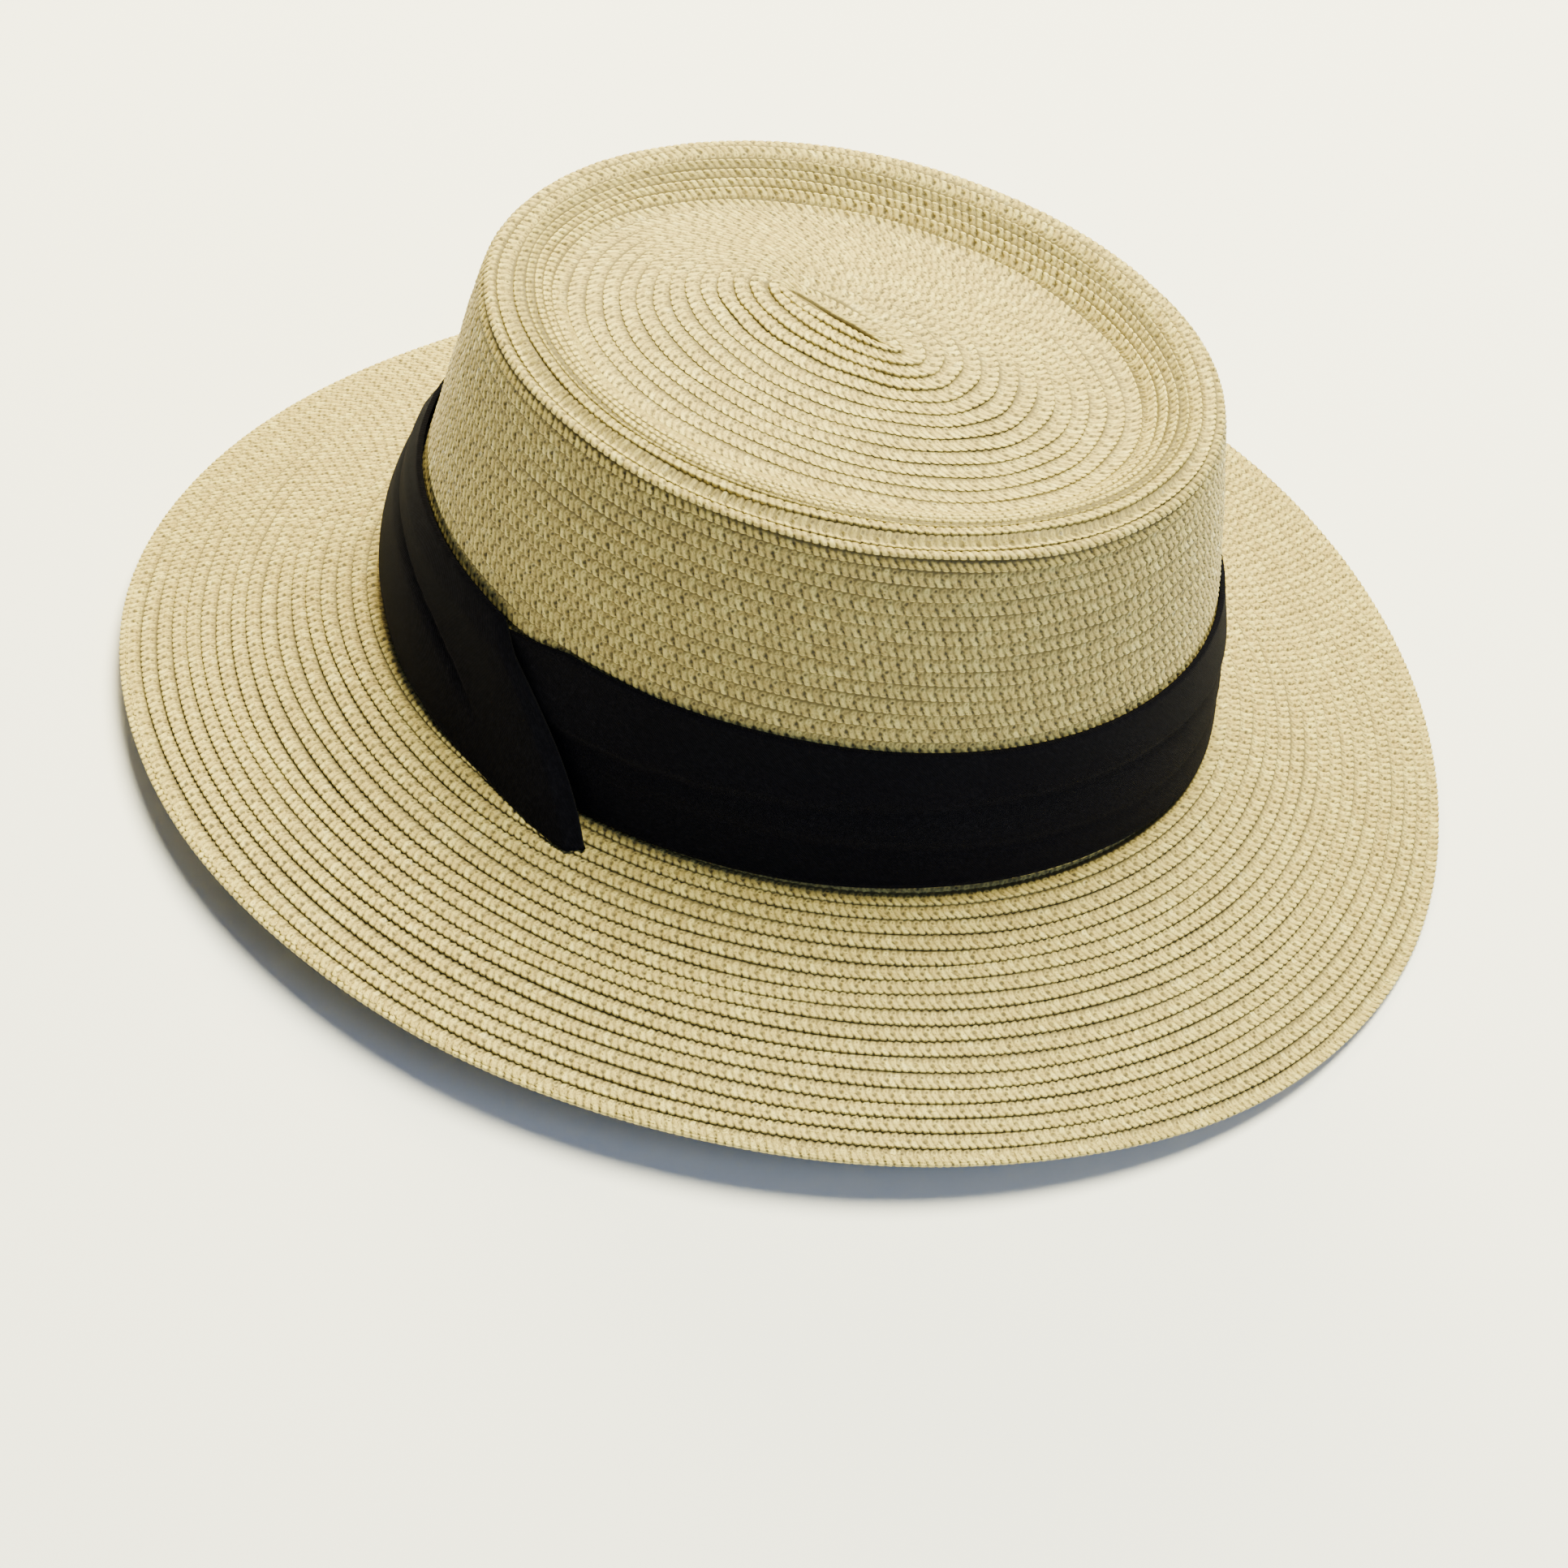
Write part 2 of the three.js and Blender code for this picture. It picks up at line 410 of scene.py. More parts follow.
# across the tape, drop under its top, lean of the plaits along it, plait relief
tapeSection = [
    (-braidForm["tuck"], 0, 0.4, 0.0),
    (0.45, 0, 0.3, 0.65),
    (1.5, -0.05, 0.0, 0.85),
    (2.4, -0.03, 0.3, 1.1),
    (3.1, 0.08, 0.65, 0.9),
    (3.55, -0.05, 0.85, 0.45),
    (3.88, 0.16, 0.95, 0.45),
    (3.84, braidForm["under"], 0.95, 0.2),
    (-braidForm["tuck"], braidForm["under"], 0.2, 0.4),
]

# waves round the hat, waves outwards, lead, share
strayWaves = [(3, 0.19, 0, 1), (5, -0.13, 1.3, 1), (11, 0.41, 4, 0.7)]


def strayRows(reach, turn):
    stray = 0
    for around, outwards, lead, share in strayWaves:
        stray = stray + share * np.sin(around * turn + outwards * reach + lead)
    return braidForm["wander"] * stray


def braidPath(surface, reachAt, firstTurn, lastTurn):
    turns = np.linspace(firstTurn, lastTurn, int((lastTurn - firstTurn) * braidForm["pathSteps"]))
    middle = surface(reachAt(turns) + braidForm["pitch"] / 2, turns, 0)
    length = np.concatenate([[0], np.cumsum(np.linalg.norm(np.diff(middle, axis=0), axis=1))])
    return turns, length


def plaitRelief(number, valley, across):  # each plait has its own tone and height on each half of the tape
    half = (across > braidForm["halfAcross"]).astype(int)
    span = number[-1] + 2
    tones = chance.rand(span, 2)
    heights = (chance.rand(span, 2) - 0.5) * braidForm["unevenPlait"]
    dips = np.where(valley, -braidForm["valley"], braidForm["swell"])[:, None] * np.ones(across.shape)
    low, high = braidForm["oddAcross"]
    dips[np.ix_(valley & (number % 2 == 1), (across > low) & (across < high))] *= braidForm["oddValley"]
    tone = tones[number][:, half]
    before = np.maximum(number - 1, 0)
    tone[valley] = 0.5 * (tones[number[valley]] + tones[before[valley]])[:, half]
    return tone, dips + heights[number][:, half]


# the lap mark only steers painted shade in the shader: close rows darken, and the painted groove starts
# past the lapped part
def lapAt(reachAt, turn, inner, evenRows):  # how much more than an even row each goes under the last
    before = reachAt(np.maximum(turn - fullTurn, 0))
    lap = np.clip(braidForm["pitch"] - (inner - before), 0, braidForm["mostLap"])
    lap = lap * (0 if evenRows else 1)
    outFade, roundFade = braidForm["seamFades"]
    seam = braidForm["seamLap"] * (1 - smoothStep(inner, *outFade)) * smoothStep(np.cos(turn), *roundFade)
    return lap * smoothStep(inner, *braidForm["lapFade"]) - seam


def tapeFaces(rows, wide):  # round the closed tape, and over its two ends
    grid = np.arange(rows * wide).reshape(rows, wide)
    nextOne = np.roll(grid, -1, 1)
    quads = np.stack([grid[:-1], nextOne[:-1], nextOne[1:], grid[1:]], -1).reshape(-1, 4)
    last = wide - 1
    ends = [(grid[0, last], grid[0, j + 1], grid[0, j]) for j in range(last - 1)]
    ends += [(grid[-1, last], grid[-1, j], grid[-1, j + 1]) for j in range(last - 1)]
    return quads, np.array(ends)


def braidMesh(name, surface, reachAt, path, fromLength, toLength, coarse=0, tilts=(), paintedShadeAt=None):
    turns, length = path
    pitch = braidForm["pitch"]
    plait = coarse or braidForm["plait"]
    columns = np.array([0.5] if coarse else braidForm["columns"])
    firstPlait, lastPlait = int(fromLength / plait), int(min(toLength, length[-1] - 2) / plait)
    number = np.append(np.repeat(np.arange(firstPlait, lastPlait), len(columns)), lastPlait)
    share = np.append(np.tile(columns, lastPlait - firstPlait), columns[0])
    across, drop, lean, relief = np.array(tapeSection).T
    along = ((number + share) * plait)[:, None] + lean[None, :]
    turn = np.interp(along, length, turns)
    inner = reachAt(turn)
    tone, bumps = plaitRelief(number, share == 0, across)
    rise = braidForm["tapeThick"] * across / pitch - drop - braidForm["sink"]
    rise = rise + bumps * relief * (0 if coarse else 1)
    rise = rise + braidForm["ripple"] * np.sin(4 * turn + 0.11 * inner) * np.sin(0.9 * turn + 0.37 * inner)
    corner = np.zeros(along.shape)
    for bendReach, tilt, tiltReach in tilts:  # at a bend the stiff tape's outer edge stands proud
        near = bell(inner + braidForm["tapeMiddle"], bendReach, tiltReach)
        rise = rise + tilt * near * (across / pitch - 0.3)
        corner = corner + near
    notch = np.where(share == 0, *braidForm["edgeNotch"])[:, None] * (across > braidForm["notchAcross"])
    place = inner + across + strayRows(inner, turn) * smoothStep(inner, *braidForm["wanderFade"]) + notch
    points = inFrame(surface(place, turn, rise))
    marks = {
        "strawTone": tone,
        "strawPlait": (number + share)[:, None],
        "strawAcross": across[None, :],
        "strawCorner": corner,
        "strawLap": lapAt(reachAt, turn, inner, not tilts),
        # the rim's painted shade mark, read by the shader
        "strawShade": paintedShadeAt(inner + across, turn) if paintedShadeAt else 0,
        "strawUnder": (drop == braidForm["under"])[None, :],
    }
    marks = {mark: (values + 0 * along).ravel() for mark, values in marks.items()}
    quads, ends = tapeFaces(*along.shape)
    return buildPiece(name, points.reshape(-1, 3), quads, ends, marks)


def buildPiece(name, points, quads, ends, marks):
    mesh = bpy.data.meshes.new(name)
    corners = np.concatenate([quads.ravel(), ends.ravel()]).astype(np.int32)
    totals = np.concatenate([np.full(len(quads), 4), np.full(len(ends), 3)]).astype(np.int32)
    starts = np.concatenate([[0], np.cumsum(totals)[:-1]]).astype(np.int32)
    mesh.vertices.add(len(points))
    mesh.vertices.foreach_set("co", points.astype(np.float32).ravel())
    mesh.loops.add(len(corners))
    mesh.loops.foreach_set("vertex_index", corners)
    mesh.polygons.add(len(totals))
    mesh.polygons.foreach_set("loop_start", starts)
    mesh.polygons.foreach_set("loop_total", totals)
    mesh.polygons.foreach_set("use_smooth", np.ones(len(totals), dtype=bool))
    for mark, values in marks.items():
        layer = mesh.attributes.new(mark, "FLOAT", "POINT")
        layer.data.foreach_set("value", np.ascontiguousarray(values, dtype=np.float32))
    mesh.update(calc_edges=True)
    mesh.validate()
    piece = bpy.data.objects.new(name, mesh)
    bpy.context.scene.collection.objects.link(piece)
    print(name, len(mesh.polygons), "faces")
    return piece


# Node helpers: a wire joins an output to an input, and a plain value is set on the socket itself
def setInputs(node, inputs):
    for key, value in inputs.items():
        socket = node.inputs[key]
        if isinstance(value, bpy.types.NodeSocket):
            node.id_data.links.new(value, socket)
        else:
            socket.default_value = value


def treeOf(*values):  # the tree that the first wire among the values comes from
    return next(value.id_data for value in values if isinstance(value, bpy.types.NodeSocket))


def addNode(tree, kind, settings=None, **inputs):
    node = tree.nodes.new(kind)
    for key, value in (settings or {}).items():
        setattr(node, key, value)
    setInputs(node, {key.replace("_", " "): value for key, value in inputs.items()})
    return node


def readMark(tree, name):
    return addNode(tree, "ShaderNodeAttribute", {"attribute_name": name}).outputs["Fac"]


def reckon(kind, *values):
    node = addNode(treeOf(*values), "ShaderNodeMath", {"operation": kind})
    setInputs(node, dict(enumerate(values)))
    return node.outputs[0]


def plus(first, second):
    return reckon("ADD", first, second)


def minus(first, second):
    return reckon("SUBTRACT", first, second)


def times(first, second):
    return reckon("MULTIPLY", first, second)


def timesPlus(value, factor, more):
    return reckon("MULTIPLY_ADD", value, factor, more)


def larger(first, second):
    return reckon("MAXIMUM", first, second)


def atMostOne(value):
    return reckon("MINIMUM", value, 1)


def offHalf(value):  # distance from halfway between two whole numbers
    return reckon("ABSOLUTE", minus(reckon("FRACT", value), 0.5))


def ramp(value, low, high, bottom=0.0, top=1.0, kind="SMOOTHSTEP"):
    node = addNode(treeOf(value), "ShaderNodeMapRange", {"interpolation_type": kind},
                   Value=value, From_Min=low, From_Max=high, To_Min=bottom, To_Max=top)
    return node.outputs[0]


def noise(place, scale, detail, roughness=0.5):
    node = addNode(treeOf(place), "ShaderNodeTexNoise",
                   Vector=place, Scale=scale, Detail=detail, Roughness=roughness)
    return node.outputs["Fac"]


def makePlace(x, y, z=0.0):
    return addNode(treeOf(x, y), "ShaderNodeCombineXYZ", X=x, Y=y, Z=z).outputs[0]


def objectPlace(tree):
    return addNode(tree, "ShaderNodeTexCoord").outputs["Object"]


def blendColour(share, first, second, kind="MIX"):
    settings = {"data_type": "RGBA", "blend_type": kind}
    node = addNode(treeOf(share, first, second), "ShaderNodeMix", settings)
    setInputs(node, {0: share, 6: first, 7: second})
    return node.outputs[2]


def dimColour(colour, light):
    grey = addNode(treeOf(light), "ShaderNodeCombineColor", Red=light, Green=light, Blue=light).outputs[0]
    return blendColour(1.0, colour, grey, "MULTIPLY")


def newFinish(name):
    material = bpy.data.materials.new(name)
    material.use_nodes = True
    tree = material.node_tree
    shader = tree.nodes["Principled BSDF"]
    return material, tree, shader


# Look of the braid, worked out along and across the tape: lengths along it are counted in plaits,
# and "width" is the share of a row's pitch across it
strawLook = {
    "pale": (0.51, 0.409, 0.13, 1),
    "golden": (0.3, 0.215, 0.057, 1),
    "bleached": (0.66, 0.56, 0.18, 1),
    "paintedShade": (0.19, 0.155, 0.042, 1),   # painted shade, for the close rows in the wall of the recess and the steep row over the ledge
    # the dark of the plait's gaps, which the painted shade in the grooves also takes
    "gap": (0.068, 0.053, 0.02, 1),
    "goldFlecks": 1.9,
    "goldPatches": (0.6, -0.95),   # strength, and what is taken off so that most straw stays pale
    "bleachedMost": 0.9,
    "fibreLight": (1.1, 0.3),      # contrast and least light of the fibres
    # painted shading: each plait lighter at its middle and darker toward the dips
    "plaitPaintedShading": 0.45,
    "valleyReach": (0.28, 0.04),
    "slitSoft": 0.3,
    "slitSlant": 0.8,
    "teeth": (0.8, 0.1),           # gaps between the plaits, near a row's edge and all over
    "teethOuter": (0.62, 0.9),     # widths over which they grow
    "teethInner": (0.7, 0.3),
    "cornerTeeth": 0.8,            # where the hat bends they open on the inner half too
    "broken": (0.36, 0.62, 0.55, 1.25),  # noise from and to, least and most strength of the gaps
    "nicks": (0.57, 0.7, 0.0, 0.75),
    # painted shade on the close rows in the wall of the recess, growing with their lap
    "closePaintedShade": 0.75,
    "closeLap": (0.2, 1.3),
    # painted highlight along each row's outer edge, and the width over which it grows
    "edgeHighlight": 0.4,
    "edgeWidth": (0.88, 1.0),
    "grooveReach": 1.1,
    "tickReach": 1.7,
    "grooveStart": 0.2,
    "paintedGrooveShade": 0.86,     # painted shade in the groove where a row goes under the one before it
    "gapShade": 1.0,       # darkness of the small gaps in the plait
    "underShade": -0.5,
    "roughness": 0.6,
    "glossyTone": (0.9, -0.25),    # plaits past this tone are smoother by so much
    "sheen": 0.05,
    "sheenRough": 0.4,
    "shine": 0.3,
    "fibreBump": 0.6,
    "bumpDepth": 0.0003,
}

# dark slits between the strands: reach along, then level, half its width and strength
strawSlits = {
    "valley": (0.2, 0.62, 0.17, 0.5),
    "even": (0.42, 0.62, 0.22, 1),     # a big one at every second plait
    "half": (0.34, 0.3, 0.17, 0.95),   # smaller ones halfway between
    "middle": (0.18, 0.3, 0.13, 0.6),
}


def slitAt(distance, width, reach, level, halfWidth, strength):
    sideways = reckon("DIVIDE", distance, reach)
    upward = reckon("DIVIDE", minus(width, level), halfWidth)
    away = plus(reckon("POWER", sideways, 2), reckon("POWER", reckon("ABSOLUTE", upward), 2))
    return times(minus(1, reckon("SMOOTH_MIN", away, 1, strawLook["slitSoft"])), strength)


def plaitGaps(plait, across, width, corner, fromValley, valley):
    slanted = timesPlus(minus(width, strawSlits["even"][1]), strawLook["slitSlant"], plait)
    distances = {
        "valley": fromValley,
        "even": minus(1, times(offHalf(times(slanted, 0.5)), 2)),
        "half": times(offHalf(timesPlus(plait, 0.5, 0.25)), 2),
        "middle": offHalf(plait),
    }
    outerHalf = ramp(width, *strawLook["teethOuter"])
    innerHalf = times(ramp(width, *strawLook["teethInner"]), times(corner, strawLook["cornerTeeth"]))
    gaps = times(valley, timesPlus(larger(outerHalf, innerHalf), *strawLook["teeth"]))
    for name, shape in strawSlits.items():
        gaps = larger(gaps, slitAt(distances[name], width, *shape))
    tapePlace = makePlace(times(plait, braidForm["plait"]), across)
    gaps = times(gaps, ramp(noise(tapePlace, 0.9, 2), *strawLook["broken"], "LINEAR"))
    return atMostOne(larger(gaps, ramp(noise(tapePlace, 2.2, 2), *strawLook["nicks"])))


def strawFinish():
    material, tree, shader = newFinish("paperStraw")
    parts = ("Tone", "Plait", "Across", "Under", "Corner", "Lap", "Shade")
    tone, plait, across, under, corner, lap, dim = (readMark(tree, "straw" + part) for part in parts)
    width = reckon("DIVIDE", across, braidForm["pitch"])
    fromValley = minus(0.5, offHalf(plait))
    valley = ramp(fromValley, *strawLook["valleyReach"])
    gaps = plaitGaps(plait, across, width, corner, fromValley, valley)
    fibres = noise(makePlace(times(plait, 9), across, times(plait, 0.13)), 1.5, 3, 0.6)

    patches = timesPlus(noise(objectPlace(tree), 12, 3), *strawLook["goldPatches"])
    goldShare = timesPlus(noise(makePlace(plait, across), 0.7, 2), strawLook["goldFlecks"], patches)
    colour = blendColour(goldShare, strawLook["pale"], strawLook["golden"])
    bleached = times(reckon("POWER", tone, 3), strawLook["bleachedMost"])
    colour = blendColour(bleached, colour, strawLook["bleached"])
    # fibre streaks, and painted shading that makes each plait darker toward the dips
    light = plus(timesPlus(fibres, *strawLook["fibreLight"]), times(fromValley, strawLook["plaitPaintedShading"]))
    # painted shade: the close rows in the recess wall and the rows under the rim's painted shade mark are
    # blended toward the painted shade colour
    paintedCloseShade = ramp(lap, *strawLook["closeLap"], 0.0, strawLook["closePaintedShade"], "LINEAR")
    paintedCloseShade = times(paintedCloseShade, minus(1, atMostOne(corner)))
    # the rim's painted shade mark, at most 1
    dimmed = atMostOne(dim)
    colour = blendColour(
        larger(paintedCloseShade, dimmed), dimColour(colour, light), dimColour(strawLook["paintedShade"], light))
    # painted highlight: each row's outer edge is lightened toward the bleached colour, except under the
    # rim's painted shade
    paintedEdgeHighlight = ramp(width, *strawLook["edgeWidth"], 0.0, strawLook["edgeHighlight"], "LINEAR")
    paintedEdgeHighlight = times(paintedEdgeHighlight, minus(1, dimmed))
    colour = blendColour(paintedEdgeHighlight, colour, strawLook["bleached"])

    # painted shade in the groove: a line of dark ticks, deepest between two plaits
    ticks = timesPlus(valley, strawLook["tickReach"], strawLook["grooveReach"])
    edgeReach = plus(lap, timesPlus(corner, 0.3, ticks))
    edge = minus(1, ramp(across, plus(lap, strawLook["grooveStart"]), edgeReach))
    # painted groove shade and the plait's own dark gaps, with the rim's painted groove past 1; on the
    # tape's underside all of it is halved
    shadeAndGaps = larger(times(edge, strawLook["paintedGrooveShade"]), times(gaps, strawLook["gapShade"]))
    shadeAndGaps = larger(shadeAndGaps, minus(dim, dimmed))
    shadeAndGaps = times(shadeAndGaps, timesPlus(under, strawLook["underShade"], 1))
    colour = blendColour(shadeAndGaps, colour, strawLook["gap"])

    bump = addNode(tree, "ShaderNodeBump", Height=minus(times(fibres, 0.5), gaps),
                   Strength=strawLook["fibreBump"], Distance=strawLook["bumpDepth"])
    glossyTone, smoother = strawLook["glossyTone"]
    gloss = times(reckon("GREATER_THAN", tone, glossyTone), smoother)
    setInputs(shader, {
        "Base Color": colour,
        "Roughness": plus(gloss, strawLook["roughness"]),
        "Normal": bump.outputs[0],
        "Sheen Weight": strawLook["sheen"],
        "Sheen Roughness": strawLook["sheenRough"],
        "Specular IOR Level": strawLook["shine"],
    })
    return material


straw = strawFinish()


def dressStraw(piece, node):
    piece.data.materials.append(straw)
    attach(piece, "root")
    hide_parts(node)


def crownReachAt(turn):  # the first turn goes straight up and down the seam, then each turn gains a row
    halfTurns = turn / math.pi
    rowsDone = np.interp(halfTurns, [2.0, 3.0, 203.0], [0, 1, 101])
    return np.interp(rowsDone, crownRows["rows"], crownRows["reach"], 0)


def crownTurnAt(reach):
    return math.pi * (3 + 2 * (np.interp(reach, crownRows["reach"], crownRows["rows"]) - 1))


def brimReachAt(turn):  # the last turn runs out under the one before it, so the edge is even
    return np.minimum(braidForm["pitch"] * turn / fullTurn, brimReach - braidForm["pitch"])


def braidCrown():
    lastTurn = crownTurnAt(crownLine["reach"][-1] - hatForm["footBelow"])
    path = braidPath(onCrown, crownReachAt, math.pi / 2, lastTurn)
    turns, length = path
    wallMiddle = (rowForm["closeFrom"] + rowForm["closeTo"]) / 2
    tilts = [(ledgeReach - 1.5, 0.35, 2.6), (wallMiddle, 0.6, 4)]  # middle of the bend, tilt, spread
    onRim = (crownLine["radius"] > recessOuter) & (crownLine["height"] > hatForm["crownHeight"] - 2)
    tipEnd = np.interp(crownTurnAt(crownLine["reach"][np.argmax(onRim)]), turns, length)
    coverEnd = np.interp(crownTurnAt(reachOfHeight(braidForm["coverHeight"])), turns, length)
    middleEnd = (tipEnd + coverEnd) / 2
    cuts = [
        ("tipBraid", "crown_tip", 0, tipEnd, 0),
        ("sideBraidUpper", "crown_side", tipEnd, middleEnd, 0),
        ("sideBraidLower", "crown_side", middleEnd, coverEnd, 0),
        ("sideBraidFoot", "crown_side", coverEnd, length[-1], braidForm["coarsePlait"]),
    ]
    for name, node, start, end, coarse in cuts:
        dressStraw(braidMesh(name, onCrown, crownReachAt, path, start, end, coarse, tilts, paintRimShade), node)


def braidBrim():
    path = braidPath(onBrim, brimReachAt, 0, fullTurn * (brimReach / braidForm["pitch"] + 1))
    parts = ["brimBraidInner", "brimBraidMiddle", "brimBraidOuter"]
    total = path[1][-1]
    for number, name in enumerate(parts):
        start, end = total * number / len(parts), total * (number + 1) / len(parts)
        dressStraw(braidMesh(name, onBrim, brimReachAt, path, start, end), "brim")


braidCrown()
braidBrim()
print("braid sewn")

# Hatband: one strip of cloth laid in soft pleats. Its slanting end laps over its start, and the low
# corner of that end hangs loose and rests on the brim.
bandForm = {
    "height": 37.5,
    "lift": 2.2,           # of the low edge over the brim
    "thick": 1.8,
    "thickShare": (0.55, 0.45),  # at the edges, and what the middle adds
    "startAngle": 96,
    "endAngle": 146,       # where the end's slanting edge meets the top, one turn further on
    "endSlant": 23,
    "endBow": 0.46,
    "lapAngles": (442, 453),
    "lapLift": 2.5,
    "topLean": 0.7,        # over its lap the top edge leans back on the crown by this share
    "topLeanLevels": (0.84, 1),
    "pleatDepth": 1.3,
    "creaseDepth": 1.1,
    "creaseSpread": 0.025,
    "lowerPuff": 1.6,
    "lowerPuffLevels": 0.66,
    "wave": 0.22,
    "endPuff": 2.2,
    "endPuffOver": (4, 26),
    "endPuffShare": (0.15, 0.85),  # at the top edge, and what the low edge adds
    "endFold": (3.4, 2.6),  # width and depth of the turned edge at the end
    "endFoldShare": (0.35, 0.65),  # the same for the turned edge
    "endFoldLevels": (0.3, 0.7),
    "foldSoft": 0.014,
    "foldAbove": (0.5, 0.2),   # height and spread over a fold, then depth and spread under it
    "foldBelow": (0.6, 0.09),
    "brimOver": 0.4,       # the loose corner stays this much over the brim
    "stepsAlong": (380, 80),
    "fineFrom": 0.94,      # share of the strip from which the steps are finer
    "stepsUp": 30,
}

# angle round the hat (past 360 on the lapping end), then shares of the band's height
bandTop = [
    (96, 0.8), (146, 0.83), (158, 0.97), (190, 1), (442, 1), (462, 0.95), (500, 0.93), (508, 0.91),
    (530, 0.9),
]
bandLow = [
    (96, 0), (160, -0.05), (195, -0.03), (215, 0), (240, 0), (262, -0.03), (300, 0), (442, 0),
    (497, -0.03), (527, -0.05),
]

# angle, height share of the fold, strength of the fold
upperPleat = [
    (96, 0.5, 0.3), (150, 0.49, 0.9), (166, 0.51, 1), (187, 0.575, 0.5), (203, 0.605, 0.4),
    (235, 0.665, 0.45), (252, 0.665, 0.9), (275, 0.6, 1), (310, 0.55, 0.5), (360, 0.5, 0.8),
    (420, 0.6, 0.5), (450, 0.6, 0),
]
lowerPleat = [
    (96, 0.3, 0), (180, 0.36, 0.15), (200, 0.35, 0.5), (225, 0.32, 0.45), (245, 0.3, 0.5), (300, 0.3, 0.6),
    (340, 0.26, 0.3), (400, 0.3, 0.6), (450, 0.3, 0),
]
endCrease = [
    (440, 0.64, 0), (452, 0.66, 0.8), (478, 0.655, 1), (485, 0.62, 1), (493, 0.56, 1), (501, 0.445, 0.7),
    (510, 0.25, 0),
]

# angle, how far the low edge of the end drops, how far it stands off
endHang = [(478, 0, 0), (497, 0.5, 1), (505, 1.1, 2), (515, 1.9, 4), (522, 2.4, 5), (530, 3.2, 6.5)]


def readTable(table, angle, column=1):
    rows = np.array(table)
    return np.interp(np.degrees(angle), rows[:, 0], rows[:, column])


def foldAt(table, angle, level):  # the cloth above a fold laps a little over the cloth below
    away = level - readTable(table, angle)
    above = smoothStep(away, -bandForm["foldSoft"], bandForm["foldSoft"])
    over, overSpread = bandForm["foldAbove"]
    deep, deepSpread = bandForm["foldBelow"]
    shape = above * over * bell(away, 0, overSpread) - (1 - above) * deep * bell(away, 0, deepSpread)
    return shape * readTable(table, angle, 2)


def brimTopAt(radius, angle):
    slope = droopAt(angle)
    past = np.maximum(0, radius - droopStart)
    near = np.minimum(past, hatForm["brimBend"])
    fall = near**2 * slope / (2 * hatForm["brimBend"])
    return bandForm["brimOver"] - fall - (past - near) * np.tan(slope)


def puffAt(angle, level):  # over its end the strip has a sharp crease, and puffs out under it
    away = level - readTable(endCrease, angle)
    crease = readTable(endCrease, angle, 2)
    bulge = np.sin(math.pi * np.clip(-away / bandForm["lowerPuffLevels"], 0, 1)) ** 0.6
    puff = crease * bandForm["lowerPuff"] * np.where(away < 0, bulge, 0)
    return puff - crease * bandForm["creaseDepth"] * bell(away, 0, bandForm["creaseSpread"])


def looseAt(fromEnd, under):  # the end's edge is turned in, and the cloth before it stands off
    width, turned = bandForm["endFold"]
    least, more = bandForm["endFoldShare"]
    rounded = turned * (1 - smoothStep(fromEnd, 0, width))
    rounded = rounded * (least + more * smoothStep(under, *bandForm["endFoldLevels"]))
    least, more = bandForm["endPuffShare"]
    loose = bandForm["endPuff"] * (1 - smoothStep(fromEnd, *bandForm["endPuffOver"]))
    return loose * (least + more * under) - rounded


def onBand(share, level, depth):  # depth is 0 on the straw and 1 on the outside
    start = math.radians(bandForm["startAngle"])
    under = 1 - level
    slant = bandForm["endSlant"] * (under + under * (1 - under) * bandForm["endBow"])
    end = np.radians(bandForm["endAngle"] + 360 + slant)
    angle = start + (end - start) * share
    top, low = readTable(bandTop, angle), readTable(bandLow, angle)
    hang = under**2
    height = hatForm["seamGap"] + bandForm["lift"] + bandForm["height"] * (low + (top - low) * level)
    height = height - readTable(endHang, angle) * hang
    least, more = bandForm["thickShare"]
    thick = bandForm["thick"] * (least + more * np.sin(math.pi * (level * 0.94 + 0.03)) ** 0.5)
    folds = foldAt(upperPleat, angle, level) + foldAt(lowerPleat, angle, level)
    wave = bandForm["wave"] * np.sin(5 * angle + 7 * level) * np.sin(2.3 * angle - 3 * level + 1)
    fromEnd = (end - angle) * (baseRadius + stretch * 0.3)  # millimetres round the crown there
    outer = thick + bandForm["pleatDepth"] * folds + puffAt(angle, level) + wave + looseAt(fromEnd, under)
    lap = smoothStep(angle, *np.radians(bandForm["lapAngles"]))
    leaning = 1 - bandForm["topLean"] * smoothStep(level, *bandForm["topLeanLevels"])
    layers = hatForm["seamGap"] + bandForm["lapLift"] * lap * leaning + outer * depth
    radius = crownRadius(height) + layers + readTable(endHang, angle, 2) * hang
    height = np.where(lap > 0.5, np.maximum(height, brimTopAt(radius, angle)), height)
    return np.stack([radius * np.cos(angle), (radius + stretch) * np.sin(angle), height], -1), angle


